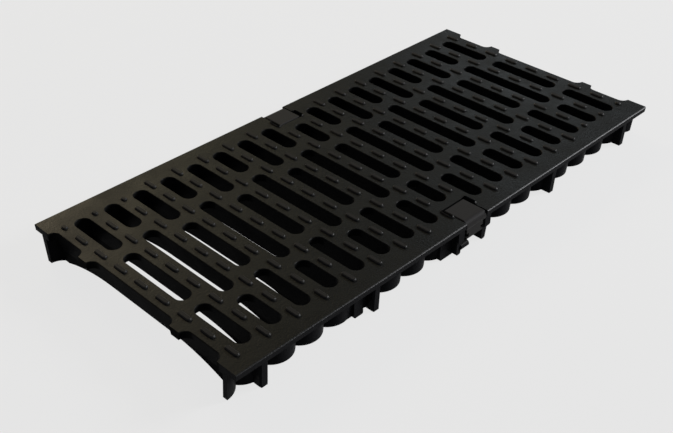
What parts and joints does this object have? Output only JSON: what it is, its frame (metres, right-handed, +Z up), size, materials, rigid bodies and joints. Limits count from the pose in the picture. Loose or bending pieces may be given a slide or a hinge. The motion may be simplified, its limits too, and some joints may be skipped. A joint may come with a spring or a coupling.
{
  "type": "trench drain grate",
  "caption": "Slotted cast-iron grate that covers a 200 mm drainage channel, with raised tread pads and two toggle locks at mid length.",
  "frame": {"origin": "under the middle of the grate, at the level of the lugs' feet", "axes": "+X along the channel, +Y across it, +Z up"},
  "size_m": [0.499, 0.2396, 0.0325],
  "materials": {
    "coated_iron": "black dip coating over rough sand-cast ductile iron",
    "bare_iron": "worn dark grey coating, smoother than the grate",
    "pin_steel": "turned stainless steel"
  },
  "bodies": {
    "grate": {"grate_casting": "coated_iron", "toggle_pin_front": "pin_steel", "toggle_pin_back": "pin_steel"},
    "front_toggle": {"toggle_front": "bare_iron"},
    "back_toggle": {"toggle_back": "bare_iron"}
  },
  "joints": [
    {"name": "front_lock", "type": "hinge", "parent": "grate", "child": "front_toggle", "pos_m": [0, -0.111, 0.0229], "axis": [1, 0, 0], "range_deg": [0, 90]},
    {"name": "back_lock", "type": "hinge", "parent": "grate", "child": "back_toggle", "pos_m": [0, 0.111, 0.0229], "axis": [-1, 0, 0], "range_deg": [0, 90]}
  ]
}
